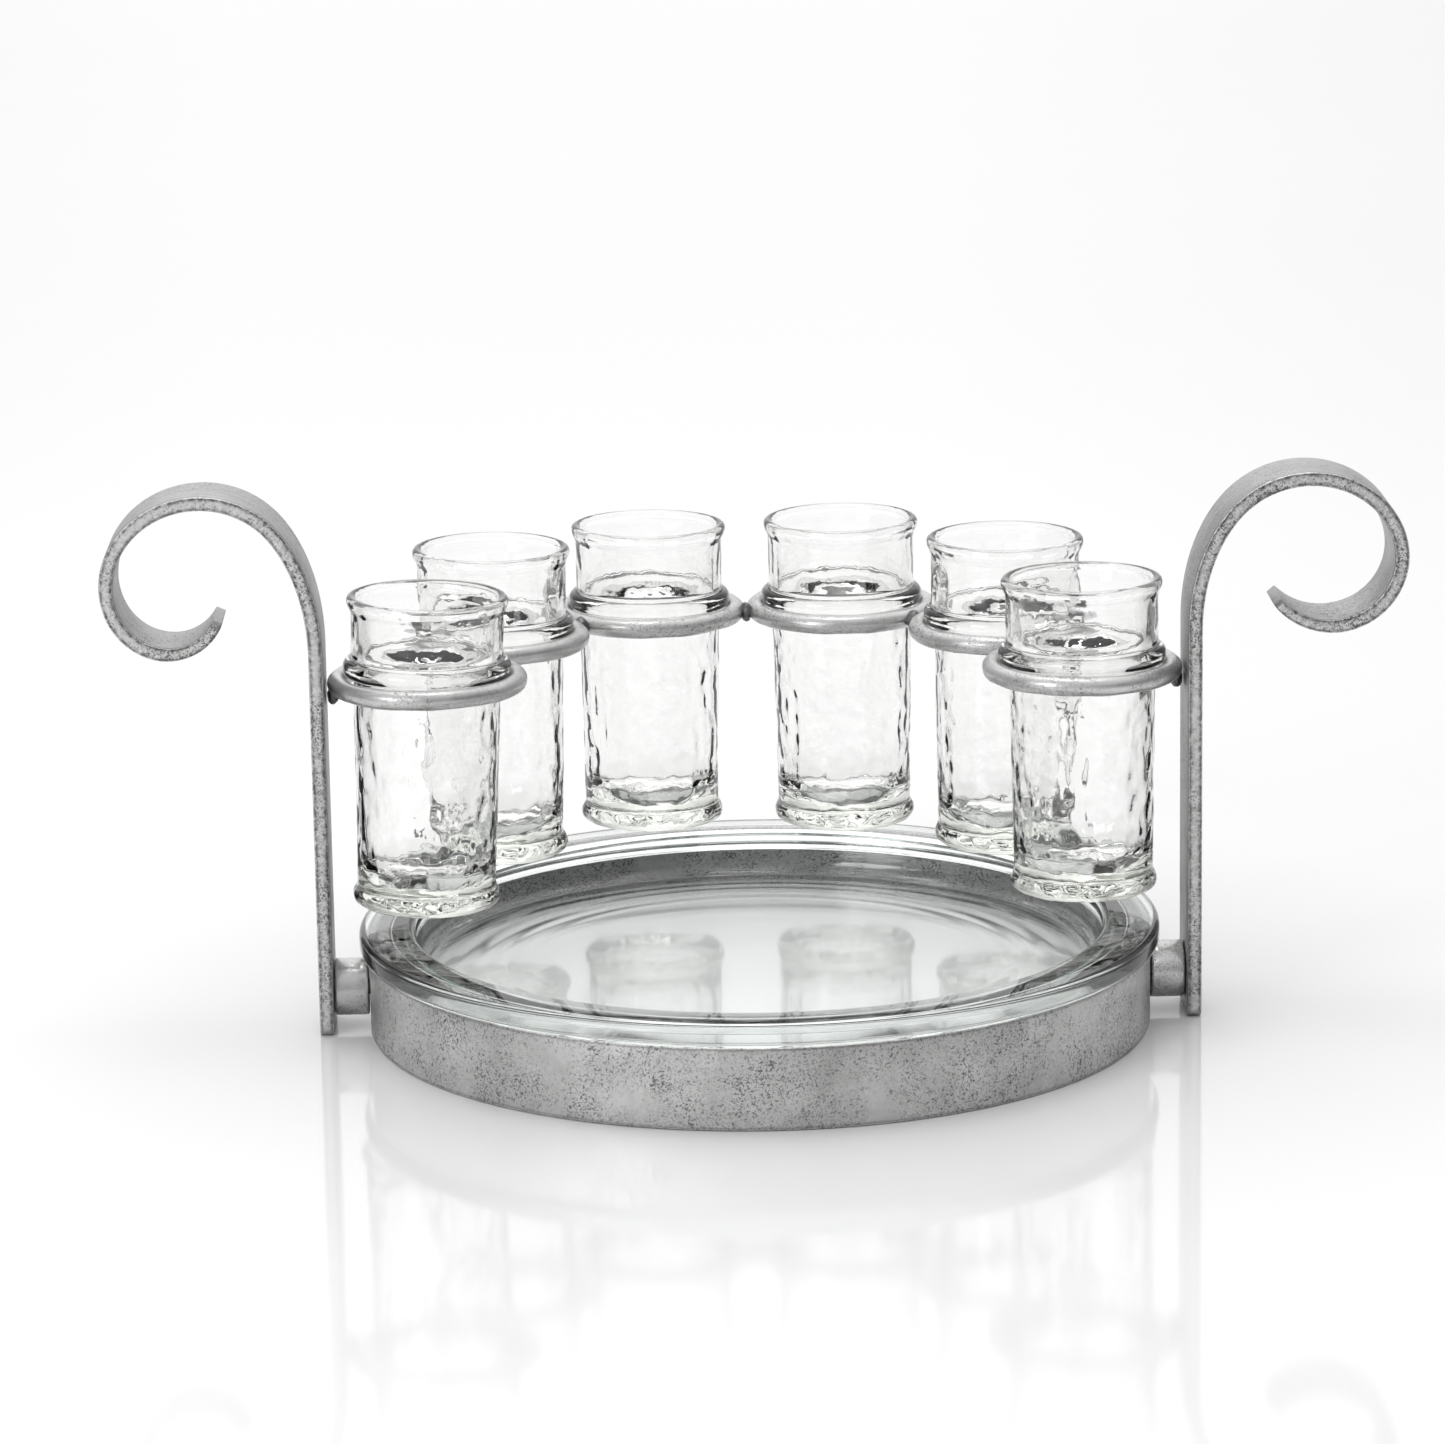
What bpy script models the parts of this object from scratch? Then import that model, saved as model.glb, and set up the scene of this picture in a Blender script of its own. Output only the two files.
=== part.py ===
"""Six-cup glass server: a hoop base with a glass dish, two scroll handles and a rack of six hanging cups.

Metres, +Z up.  The origin is on the table, midway between the front of the dish and the back of the
rack, so the middle of the hoop lies a little in front of it.  -Y is the front, the side that the rack
leaves open.  The two handles stand to the left and right of the hoop's middle.
"""

import math

import bmesh
import bpy
import numpy as np
from mathutils import Vector

for old in list(bpy.data.objects):
    bpy.data.objects.remove(old, do_unlink=True)

# ---------------------------------------------------------------- driving sizes
GAP = 0.0003                    # air between two pieces that touch

BASE_HEIGHT = 0.0254            # hoop rolled from flat bar, stood on edge
BASE_WALL = 0.0032
BASE_CHAMFER = 0.0005

DISH_THICKNESS = 0.0070         # pressed glass, the same thickness all over
DISH_OVERHANG = 0.0030          # of the rim past the outside of the hoop
DISH_DEPTH = 0.0142             # top of the rim to the floor inside
DISH_EDGE_ROUND = 0.0024        # rounding of the rim's outer edge
DISH_LIP_ROUND = 0.0026         # rounding of the rim's inner edge
DISH_NECK_ROUND = 0.0015        # under the rim, where the wall starts
DISH_CORNER = 0.0050            # inside radius of the bend from wall to floor

HANDLE_WIDTH = 0.0254           # flat bar
HANDLE_THICKNESS = 0.0044
HANDLE_CHAMFER = 0.0005
HANDLE_END_ROUND = 0.0030       # rounding of the bar's corners at both ends
TIP_THINNING = 0.70             # thickness left at the scroll's tip
TIP_TAPER_LENGTH = 0.0220
BEND_ABOVE_RACK = {"left": 0.0112, "right": 0.0136}  # plain bar from the rods' centre line to the bend
SCROLL_STATIONS = (0, 45, 100, 180, 270)            # degrees turned since the bend began
SCROLL_RADII = {                                    # bend radius at each station, both bent by hand
    "left": (0.0840, 0.0280, 0.0315, 0.0230, 0.0165),
    "right": (0.0750, 0.0310, 0.0315, 0.0208, 0.0220),
}
SCROLL_TURN = {"left": 336, "right": 320}           # degrees turned at the tip
SCROLL_STEP = 9                                     # degrees between sections of the bar
SCROLL_SUBSTEPS = 6                                 # finer steps that the curve is summed in
END_SHARES = (0.0, 0.08, 0.3, 1.0)                  # where the sections lie in a rounded end

SPACER_RADIUS = 0.0090
SPACER_LENGTH = 0.0106
SPACER_CHAMFER = 0.0006

SCREW_RADIUS = 0.0025
SCREW_CLEARANCE = 0.0003        # round the shank, in every hole it passes through
SCREW_HEAD_RADIUS = 0.0048
SCREW_HEAD_HEIGHT = 0.0026
SCREW_SOCKET_RADIUS = 0.0016
SCREW_SOCKET_DEPTH = 0.0014
SCREW_POINT = 0.0005            # chamfer at the screw's tip
HEAD_ANGLES = (0, 25, 50, 70)   # degrees round the button head, up to its flat
SCREW_SKIN = 0.0009             # bar left between the blind hole and the handle's outer face
HEAD_TO_DISH = 0.0017           # air between the screw heads and the dish's wall

ROD_RADIUS = 0.003175           # round rod that the cup rings are bent from
RING_COUNT = 6
RACK_SPAN = 179.8               # degrees of the arc between the middles of the two end rings
RING_FIT = 0.00215              # air round a cup's waist, inside its ring
END_RING_Y = 0.0034             # the outer rings meet the handles a little behind their middle

CUP_WAIST_RADIUS = 0.02285      # where the cup passes through its ring
CUP_TAPER = 0.0011              # lost from the waist down to the heel, just above the foot bead
CUP_FOOT_BEAD = 0.00125         # the foot bead stands out past the heel
CUP_FOOT_HEIGHT = 0.0060
CUP_FOOT_FLAT = 0.9             # share of the foot's flat ring that the dimple starts at
CUP_COLLAR_BEAD = 0.00335       # the collar that rests on the ring stands out past the waist
CUP_COLLAR_HEIGHT = 0.0056
CUP_COLLAR_CROWN = 0.7          # share of the collar's height where it starts to round over
CUP_COLLAR_EDGE = 0.0006        # rounding of the collar's lower edge
CUP_NECK_STEP = 0.0009          # the neck stands out past the waist
CUP_RIM_STEP = 0.00145          # the rim stands out past the neck
CUP_HANG = 0.07365              # seat of the collar down to the foot
CUP_STAND = 0.02665             # seat of the collar up to the rim
CUP_WALL = 0.0027
CUP_FOOT_TRIMS = (0.0002, 0.0012, 0.0018, 0.0006, 0.0010, 0.0006)   # each blown foot above the usual one
CUP_RIM_TRIMS = (-0.0015, 0.0012, 0.0004, 0.0012, 0.0014, 0.0000)   # each blown rim above the usual one
CUP_FLOOR = 0.0095              # heavy glass base
CUP_FLOOR_ROUND = 0.0025
CUP_PUNT = 0.0025               # dimple pushed up under the base
CUP_RIM_FLARE = 0.0050          # height over which the neck opens out to the rim
CUP_OVER_DISH = 0.0058          # air between the feet and the dish's rim

WELD_RADIUS = 0.0034            # bead between two rods
WELD_INSET = 0.0048             # from the contact point towards the middle of the rack
HANDLE_WELD_SIZE = (0.0030, 0.0046, 0.0034)
HANDLE_WELD_DROP = 0.0036       # below the rod's centre line
HANDLE_WELD_SINK = 0.0010       # how far the bead's middle is out from the handle's face

BASE_STEPS = 56
DISH_STEPS = 56
CUP_STEPS = 24
RING_STEPS = 40
ROD_SIDES = 8
SMALL_STEPS = 16
WELD_STEPS = (12, 8)
SHARP_ANGLE = math.radians(35)

# ---------------------------------------------------------------- sizes that follow from them
cup_heel_radius = CUP_WAIST_RADIUS - CUP_TAPER
cup_foot_radius = cup_heel_radius + CUP_FOOT_BEAD
cup_collar_radius = CUP_WAIST_RADIUS + CUP_COLLAR_BEAD
cup_neck_radius = CUP_WAIST_RADIUS + CUP_NECK_STEP
cup_rim_radius = cup_neck_radius + CUP_RIM_STEP

ring_inner_radius = CUP_WAIST_RADIUS + RING_FIT
ring_radius = ring_inner_radius + ROD_RADIUS
ring_outer_radius = ring_radius + ROD_RADIUS

# Neighbouring rings touch, which sets the radius of the arc that they stand on.
arc_half_angle = math.radians(RACK_SPAN / 2)
arc_step = 2 * arc_half_angle / (RING_COUNT - 1)
arc_radius = (ring_outer_radius + GAP / 2) / math.sin(arc_step / 2)
arc_centre_y = END_RING_Y - arc_radius * math.cos(arc_half_angle)
rack_back = arc_centre_y + arc_radius * math.cos(arc_step / 2) + ring_outer_radius

# The handles stand at the ends of the rack, and the hoop fits between them and their spacers.
handle_inner_x = arc_radius * math.sin(arc_half_angle) + ring_outer_radius + GAP
base_outer_radius = handle_inner_x - GAP - SPACER_LENGTH - GAP
base_inner_radius = base_outer_radius - BASE_WALL
screw_height = BASE_HEIGHT / 2
screw_bore = SCREW_RADIUS + SCREW_CLEARANCE

# A screw head's flat underside meets the hollow side of the hoop at the head's own edge.
head_seat_x = math.sqrt(base_inner_radius ** 2 - SCREW_HEAD_RADIUS ** 2) - GAP
dish_wall_radius = head_seat_x - SCREW_HEAD_HEIGHT - HEAD_TO_DISH
dish_rim_radius = base_outer_radius + DISH_OVERHANG
dish_rim_top = BASE_HEIGHT + GAP + DISH_THICKNESS

# The collar's lower edge sits on the inner shoulder of the rod.
collar_edge_radius = cup_collar_radius - CUP_COLLAR_EDGE
seat_above_rod = math.sqrt((ROD_RADIUS + GAP) ** 2 - (ring_radius - collar_edge_radius) ** 2)
cup_bottom = dish_rim_top + CUP_OVER_DISH
seat_height = cup_bottom + CUP_HANG
rack_height = seat_height - seat_above_rod

# Pieces are worked out round the middle of the hoop, then all stand this far from the origin.
hoop_middle = Vector((0, (dish_rim_radius - rack_back) / 2, 0))


def ring_place(index):
    """Middle of ring number index, counted from the left handle round the back to the right one."""
    angle = math.pi / 2 + arc_half_angle - index * arc_step
    return Vector((arc_radius * math.cos(angle), arc_centre_y + arc_radius * math.sin(angle), rack_height))


# ---------------------------------------------------------------- helpers
def material(name, colour, roughness, metallic=0.0, transmission=0.0):
    mat = bpy.data.materials.new(name)
    mat.use_nodes = True
    shader = mat.node_tree.nodes["Principled BSDF"]
    shader.inputs["Base Color"].default_value = (*colour, 1.0)
    shader.inputs["Roughness"].default_value = roughness
    shader.inputs["Metallic"].default_value = metallic
    shader.inputs["Transmission Weight"].default_value = transmission
    mat.diffuse_color = (*colour, 1.0)
    return mat


def finish_object(name, bm, mat, place=(0, 0, 0)):
    """Close a bmesh into a named object with outward faces and smooth shading."""
    bmesh.ops.remove_doubles(bm, verts=bm.verts, dist=1e-6)
    bmesh.ops.recalc_face_normals(bm, faces=bm.faces)
    mesh = bpy.data.meshes.new(name)
    bm.to_mesh(mesh)
    bm.free()
    mesh.shade_smooth()
    mesh.set_sharp_from_angle(angle=SHARP_ANGLE)
    mesh.materials.append(mat)
    obj = bpy.data.objects.new(name, mesh)
    obj.location = hoop_middle + Vector(place)
    bpy.context.scene.collection.objects.link(obj)
    return obj


def arc_points(centre, radius, start, end, steps):
    """Points on an arc in the (r, z) plane, angles in degrees."""
    angles = np.radians(np.linspace(start, end, steps + 1))
    return [(centre[0] + radius * math.cos(a), centre[1] + radius * math.sin(a)) for a in angles]


def spin_outline(outline, steps, closed):
    """Turn an (r, z) outline once round Z."""
    bm = bmesh.new()
    verts = [bm.verts.new((r, 0, z)) for r, z in outline]
    pairs = list(zip(verts[:-1], verts[1:]))
    if closed:
        pairs.append((verts[-1], verts[0]))
    edges = [bm.edges.new(pair) for pair in pairs]
    bmesh.ops.spin(bm, geom=verts + edges, cent=(0, 0, 0), axis=(0, 0, 1), angle=2 * math.pi,
                   steps=steps, use_merge=True)
    return bm


def turned(name, outline, steps, mat, place=(0, 0, 0), closed=False):
    return finish_object(name, spin_outline(outline, steps, closed), mat, place)


def lay_on_x(obj, side):
    """Turn a piece made along +Z so that it points outwards along the X axis."""
    obj.rotation_euler = (0, side * math.pi / 2, 0)


def cylinder_cutter(name, radius, start, end, side):
    """Wire cutter along X, between two distances from the middle."""
    outline = [(0, 0), (radius, 0), (radius, end - start), (0, end - start)]
    cutter = turned(name, outline, SMALL_STEPS, steel, (side * start, 0, screw_height))
    lay_on_x(cutter, side)
    return as_cutter(cutter)


def as_cutter(obj):
    obj.hide_render = True
    obj.display_type = "WIRE"
    return obj


def cut(obj, cutter):
    boolean = obj.modifiers.new("cut_" + cutter.name, "BOOLEAN")
    boolean.operation = "DIFFERENCE"
    boolean.solver = "EXACT"
    boolean.object = cutter


# ---------------------------------------------------------------- base
def make_base():
    """Flat bar rolled into a hoop on edge, with a screw hole through each side."""
    r_in, r_out, top, c = base_inner_radius, base_outer_radius, BASE_HEIGHT, BASE_CHAMFER
    outline = [(r_in, 0), (r_out - c, 0), (r_out, c), (r_out, top - c), (r_out - c, top), (r_in, top)]
    base = turned("base_ring", outline, BASE_STEPS, pewter, closed=True)
    for side, word in SIDES:
        reach_in = base_inner_radius - BASE_WALL
        reach_out = base_outer_radius + SPACER_LENGTH
        cut(base, cylinder_cutter("hole_base_" + word, screw_bore, reach_in, reach_out, side))


def make_dish():
    """Pressed glass: flat rim that rests on the hoop, short wall and flat floor."""
    t = DISH_THICKNESS
    floor_top = dish_rim_top - DISH_DEPTH
    rim_under = dish_rim_top - t
    wall_in = dish_wall_radius - t
    corner = (wall_in - DISH_CORNER, floor_top + DISH_CORNER)
    neck = (dish_wall_radius + DISH_NECK_ROUND, rim_under - DISH_NECK_ROUND)
    edge_r = dish_rim_radius - DISH_EDGE_ROUND
    lip = (wall_in + DISH_LIP_ROUND, dish_rim_top - DISH_LIP_ROUND)
    outline = [(0, floor_top - t)]
    outline += arc_points(corner, DISH_CORNER + t, -90, 0, 3)
    outline += arc_points(neck, DISH_NECK_ROUND, 180, 90, 1)
    outline += arc_points((edge_r, rim_under + DISH_EDGE_ROUND), DISH_EDGE_ROUND, -90, 0, 2)
    outline += arc_points((edge_r, dish_rim_top - DISH_EDGE_ROUND), DISH_EDGE_ROUND, 0, 90, 2)
    outline += arc_points(lip, DISH_LIP_ROUND, 90, 180, 2)
    outline += arc_points(corner, DISH_CORNER, 0, -90, 3)
    outline += [(0, floor_top)]
    turned("glass_dish", outline, DISH_STEPS, glass)


# ---------------------------------------------------------------- handles and their fixings
def scroll_line(word):
    """Centre line of a handle as (outward, up, degrees turned), from the table to the tip."""
    bend_start = rack_height + BEND_ABOVE_RACK[word]
    turn = SCROLL_TURN[word]
    count = math.ceil(turn / SCROLL_STEP)
    angles = np.linspace(0, turn, count * SCROLL_SUBSTEPS + 1)
    radii = np.interp(angles, SCROLL_STATIONS, SCROLL_RADII[word])
    step = math.radians(angles[1])
    line = [(0.0, bend_start, 0.0)]
    out, up = 0.0, bend_start
    for k in range(len(angles) - 1):
        middle = math.radians((angles[k] + angles[k + 1]) / 2)
        chord = (radii[k] + radii[k + 1]) / 2 * step
        out += math.sin(middle) * chord
        up += math.cos(middle) * chord
        if (k + 1) % SCROLL_SUBSTEPS == 0:
            line.append((out, up, angles[k + 1]))
    return [(0.0, HANDLE_END_ROUND * share, 0.0) for share in END_SHARES] + line


def rounded_half_width(distance_to_end):
    """Half the bar's width near an end whose corners are rounded off."""
    r = HANDLE_END_ROUND
    d = min(distance_to_end, r)
    return HANDLE_WIDTH / 2 - r + math.sqrt(max(r * r - (r - d) ** 2, 0.0))


def bar_section(half_width, half_thickness):
    """Chamfered rectangle as (across the width, across the thickness)."""
    c = min(HANDLE_CHAMFER, half_thickness / 2)
    w, t = half_width, half_thickness
    quarter = [(w - c, -t), (w, -t + c), (w, t - c), (w - c, t)]
    return quarter + [(-across, -through) for across, through in quarter]


def make_handle(side, word):
    """Flat bar that stands on the table, rises straight and curls over outwards into a scroll."""
    line = scroll_line(word)
    steps = [math.dist(a[:2], b[:2]) for a, b in zip(line[:-1], line[1:])]
    along = np.concatenate([[0.0], np.cumsum(steps)])
    total = along[-1]
    tip_marks = [total - HANDLE_END_ROUND * share for share in END_SHARES[-2::-1]]
    marks = sorted([s for s in along if s < total - HANDLE_END_ROUND] + tip_marks)
    out_at = np.interp(marks, along, [p[0] for p in line])
    up_at = np.interp(marks, along, [p[1] for p in line])
    turn_at = np.radians(np.interp(marks, along, [p[2] for p in line]))
    bm = bmesh.new()
    rings = []
    for s, out, up, turn in zip(marks, out_at, up_at, turn_at):
        half_width = rounded_half_width(min(s, total - s))
        thinning = np.interp(total - s, (0, TIP_TAPER_LENGTH), (TIP_THINNING, 1.0))
        ring = []
        for across, through in bar_section(half_width, HANDLE_THICKNESS / 2 * thinning):
            x = handle_inner_x + HANDLE_THICKNESS / 2 + out + through * math.cos(turn)
            z = up - through * math.sin(turn)
            ring.append(bm.verts.new((side * x, across, z)))
        rings.append(ring)
    for near, far in zip(rings[:-1], rings[1:]):
        for k in range(len(near)):
            n = (k + 1) % len(near)
            bm.faces.new((near[k], near[n], far[n], far[k]))
    bm.faces.new(rings[0])
    bm.faces.new(rings[-1])
    handle = finish_object("handle_" + word, bm, pewter)
    hole_end = handle_inner_x + HANDLE_THICKNESS - SCREW_SKIN
    hole_start = handle_inner_x - SPACER_LENGTH / 2
    cut(handle, cylinder_cutter("hole_handle_" + word, screw_bore, hole_start, hole_end, side))


def make_spacer(side, word):
    """Turned spacer between the hoop and the handle, bored through for the screw."""
    r, c, length = SPACER_RADIUS, SPACER_CHAMFER, SPACER_LENGTH
    outline = [(screw_bore, 0), (r - c, 0), (r, c), (r, length - c), (r - c, length), (screw_bore, length)]
    place = (side * (base_outer_radius + GAP), 0, screw_height)
    lay_on_x(turned("spacer_" + word, outline, SMALL_STEPS, pewter, place, closed=True), side)


def make_screw(side, word):
    """Button-head screw from inside the hoop, through the spacer, into the handle's blind hole."""
    tip = handle_inner_x + HANDLE_THICKNESS - SCREW_SKIN - SCREW_CLEARANCE
    length = tip - head_seat_x
    r, point = SCREW_RADIUS, SCREW_POINT
    head_top = SCREW_HEAD_HEIGHT * math.sin(math.radians(HEAD_ANGLES[-1]))
    socket_floor = SCREW_SOCKET_DEPTH - head_top
    outline = [(0, length), (r - point, length), (r, length - point), (r, 0)]
    outline += [(SCREW_HEAD_RADIUS * math.cos(a), -SCREW_HEAD_HEIGHT * math.sin(a))
                for a in np.radians(HEAD_ANGLES)]
    outline += [(SCREW_SOCKET_RADIUS, -head_top), (SCREW_SOCKET_RADIUS, socket_floor), (0, socket_floor)]
    place = (side * head_seat_x, 0, screw_height)
    lay_on_x(turned("screw_" + word, outline, SMALL_STEPS, steel, place), side)


# ---------------------------------------------------------------- rack
def rod_ring(name, rod_radius, place):
    """Round rod bent into a circle."""
    outline = arc_points((ring_radius, 0), rod_radius, 0, 360, ROD_SIDES)[:-1]
    return turned(name, outline, RING_STEPS, pewter, place, closed=True)


def bead(radii, place):
    """Blob of weld metal, before the rods are taken out of it."""
    bm = bmesh.new()
    bmesh.ops.create_uvsphere(bm, u_segments=WELD_STEPS[0], v_segments=WELD_STEPS[1], radius=1.0)
    bmesh.ops.scale(bm, vec=radii, verts=bm.verts)
    bmesh.ops.translate(bm, vec=place, verts=bm.verts)
    return bm


def make_rack():
    """Six rings in an arc, a weld between neighbours and one from each end ring to its handle."""
    places = [ring_place(k) for k in range(RING_COUNT)]
    room = []
    for k, place in enumerate(places):
        rod_ring(f"cup_ring_{k + 1}", ROD_RADIUS, place)
        room.append(as_cutter(rod_ring(f"room_for_ring_{k + 1}", ROD_RADIUS + GAP, place)))
    middle = Vector((0, arc_centre_y, rack_height))
    for k in range(RING_COUNT - 1):
        contact = (places[k] + places[k + 1]) / 2
        spot = contact + (middle - contact).normalized() * WELD_INSET
        bm = bead((WELD_RADIUS,) * 3, spot)
        weld = finish_object(f"ring_weld_{k + 1}", bm, pewter)
        cut(weld, room[k])
        cut(weld, room[k + 1])
    for side, word in SIDES:
        end = 0 if side < 0 else RING_COUNT - 1
        face_x = handle_inner_x - GAP
        drop = rack_height - HANDLE_WELD_DROP
        spot = Vector((side * (face_x - HANDLE_WELD_SINK), places[end].y, drop))
        bm = bead(HANDLE_WELD_SIZE, spot)
        whole = bm.faces[:] + bm.edges[:] + bm.verts[:]
        bmesh.ops.bisect_plane(bm, geom=whole, plane_co=(side * face_x, 0, 0), plane_no=(side, 0, 0),
                               clear_outer=True)
        bmesh.ops.holes_fill(bm, edges=bm.edges)
        cut(finish_object("handle_weld_" + word, bm, pewter), room[end])


def cup_outline(foot_trim, rim_trim):
    """Half section of a cup, heights measured from the seat of its collar."""
    foot = foot_trim - CUP_HANG
    rim_top = CUP_STAND + rim_trim
    foot_mid = foot + CUP_FOOT_HEIGHT / 2
    heel = foot + CUP_FOOT_HEIGHT
    crown = CUP_COLLAR_HEIGHT * CUP_COLLAR_CROWN
    rim_round = CUP_WALL / 2
    rim_centre = (cup_rim_radius - rim_round, rim_top - rim_round)
    flare = rim_top - CUP_RIM_FLARE
    foot_ring = cup_foot_radius - CUP_FOOT_HEIGHT / 2
    floor_edge = cup_heel_radius - CUP_WALL
    outline = [(0, foot + CUP_PUNT), (foot_ring * CUP_FOOT_FLAT, foot)]
    outline += [(foot_ring, foot), (cup_foot_radius, foot_mid), (cup_heel_radius, heel)]
    outline += [(CUP_WAIST_RADIUS, -ROD_RADIUS), (CUP_WAIST_RADIUS, 0)]
    outline += [(collar_edge_radius, 0), (cup_collar_radius, CUP_COLLAR_EDGE)]
    outline += [(cup_collar_radius, crown), (cup_neck_radius, CUP_COLLAR_HEIGHT)]
    outline += [(cup_neck_radius, flare)]
    outline += arc_points(rim_centre, rim_round, 0, 180, 3)
    outline += [(cup_neck_radius - CUP_WALL, flare), (CUP_WAIST_RADIUS - CUP_WALL, -ROD_RADIUS)]
    outline += [(floor_edge, foot + CUP_FLOOR + CUP_FLOOR_ROUND)]
    outline += [(floor_edge - CUP_FLOOR_ROUND, foot + CUP_FLOOR), (0, foot + CUP_FLOOR)]
    return outline


def make_cups():
    """Six cups, each with its origin on the axis of its ring at the height of its seat."""
    lift = Vector((0, 0, seat_above_rod))
    for k in range(RING_COUNT):
        trim = k % len(CUP_FOOT_TRIMS)
        outline = cup_outline(CUP_FOOT_TRIMS[trim], CUP_RIM_TRIMS[trim])
        turned(f"glass_cup_{k + 1}", outline, CUP_STEPS, glass, ring_place(k) + lift)


# ---------------------------------------------------------------- build
SIDES = ((-1, "left"), (1, "right"))
pewter = material("pewter", (0.42, 0.42, 0.41), 0.42, metallic=1.0)
steel = material("screw_steel", (0.55, 0.55, 0.54), 0.30, metallic=1.0)
glass = material("clear_glass", (0.93, 0.97, 0.95), 0.04, transmission=1.0)

make_base()
make_dish()
for sign, name_end in SIDES:
    make_handle(sign, name_end)
    make_spacer(sign, name_end)
    make_screw(sign, name_end)
make_rack()
make_cups()
print("rack height", round(rack_height, 4), "arc radius", round(arc_radius, 4))
print("hoop middle", [round(v, 5) for v in hoop_middle], "ring step", round(math.degrees(arc_step), 2))
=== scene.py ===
# %% [markdown]
# # A six-cup glass server
#
# This lesson dresses a finished CAD model.  The CAD gives the sizes, the joints and a plain solid for
# each piece.  Here each piece gets its finer shape and its finish: a hoop and two handles of flat iron
# bar under a pewter coat, a rack of rod rings, a pressed glass dish and six hand-blown glass cups.
#
# The CAD comes in first.  It is never moved.  Every size that can be read from it is read from it.

# %% Load the CAD model
import math

import bmesh
import bpy
import numpy as np
from mathutils import Matrix, Vector


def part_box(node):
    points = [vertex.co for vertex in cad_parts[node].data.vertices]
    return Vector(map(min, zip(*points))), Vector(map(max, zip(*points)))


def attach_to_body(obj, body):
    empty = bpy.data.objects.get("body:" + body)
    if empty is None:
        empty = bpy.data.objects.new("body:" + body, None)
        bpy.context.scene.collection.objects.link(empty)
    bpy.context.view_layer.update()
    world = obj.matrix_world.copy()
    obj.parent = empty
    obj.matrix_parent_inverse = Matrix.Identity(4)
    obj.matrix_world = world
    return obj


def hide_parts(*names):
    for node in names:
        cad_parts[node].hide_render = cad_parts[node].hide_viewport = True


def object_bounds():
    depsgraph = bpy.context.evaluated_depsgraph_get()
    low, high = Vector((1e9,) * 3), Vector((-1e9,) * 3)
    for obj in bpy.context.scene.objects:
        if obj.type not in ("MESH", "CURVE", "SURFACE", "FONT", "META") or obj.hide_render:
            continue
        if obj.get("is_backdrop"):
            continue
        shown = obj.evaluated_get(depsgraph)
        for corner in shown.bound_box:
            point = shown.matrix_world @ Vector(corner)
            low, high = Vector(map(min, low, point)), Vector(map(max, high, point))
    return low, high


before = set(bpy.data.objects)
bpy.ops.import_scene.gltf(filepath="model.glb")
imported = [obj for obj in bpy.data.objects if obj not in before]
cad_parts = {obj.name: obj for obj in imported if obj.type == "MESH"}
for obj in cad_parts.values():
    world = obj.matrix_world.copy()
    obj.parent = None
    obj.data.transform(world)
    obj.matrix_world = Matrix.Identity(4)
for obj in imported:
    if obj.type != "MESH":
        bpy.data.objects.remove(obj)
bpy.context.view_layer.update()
MM = 0.001
SIDES = {"left": -1, "right": 1}
CUP_COUNT = 6


# %% [markdown]
# ## Reading sizes off the CAD
#
# A CAD node's place is in its vertices, so its box tells where it is and how big it is.  For a turned
# piece, the distances of its vertices from its own axis give the radii too.

# %% Read the main sizes
def middle(node):
    """Middle of a node's box."""
    low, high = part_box(node)
    return (low + high) / 2


def ring_radii(node):
    """Smallest and largest distance of a node's vertices from its upright axis."""
    centre = middle(node)
    away = [(v.co - centre).to_2d().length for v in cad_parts[node].data.vertices]
    return min(away), max(away)


hoop_middle = middle("base_ring").to_2d().to_3d()
hoop_inner, hoop_outer = ring_radii("base_ring")
hoop_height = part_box("base_ring")[1].z
dish_radius = ring_radii("glass_dish")[1]
dish_low, dish_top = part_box("glass_dish")[0].z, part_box("glass_dish")[1].z
rod_radius = (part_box("cup_ring_1")[1].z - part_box("cup_ring_1")[0].z) / 2
rod_height = middle("cup_ring_1").z
ring_middles = [middle(f"cup_ring_{k + 1}") for k in range(CUP_COUNT)]
ring_radius = ring_radii("cup_ring_1")[1] - rod_radius
print("hoop", round(hoop_outer, 4), "rod", round(rod_radius, 5), "ring", round(ring_radius, 5))


# %% [markdown]
# ## Sums on sockets
#
# A node tree is arithmetic drawn as boxes.  It reads better as a formula, so a small class wraps one
# output socket and gives it Python's own signs: `a + b` adds a Math node.  The same class works in a
# material and in Geometry Nodes, because both know the Math nodes.

# %% Wires and trees
class Wire:
    """One output of a node, ready for Python arithmetic."""

    def __init__(self, tree, socket):
        self.tree = tree
        self.socket = socket

    def math(self, operation, *values):
        return self.tree.node("ShaderNodeMath", {"operation": operation}, dict(enumerate(values)))

    def __add__(self, other):
        return self.math("ADD", self, other)

    def __sub__(self, other):
        return self.math("SUBTRACT", self, other)

    def __mul__(self, other):
        return self.math("MULTIPLY", self, other)

    def __truediv__(self, other):
        return self.math("DIVIDE", self, other)

    def __radd__(self, other):
        return self.math("ADD", other, self)

    def __rsub__(self, other):
        return self.math("SUBTRACT", other, self)

    def __rmul__(self, other):
        return self.math("MULTIPLY", other, self)

    def step(self, start, end):
        """0 below start and 1 above end, with an even slope between (or the other way round)."""
        return self.tree.node("ShaderNodeMapRange", {"clamp": True}, {0: self, 1: start, 2: end, 3: 0.0, 4: 1.0})


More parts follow.
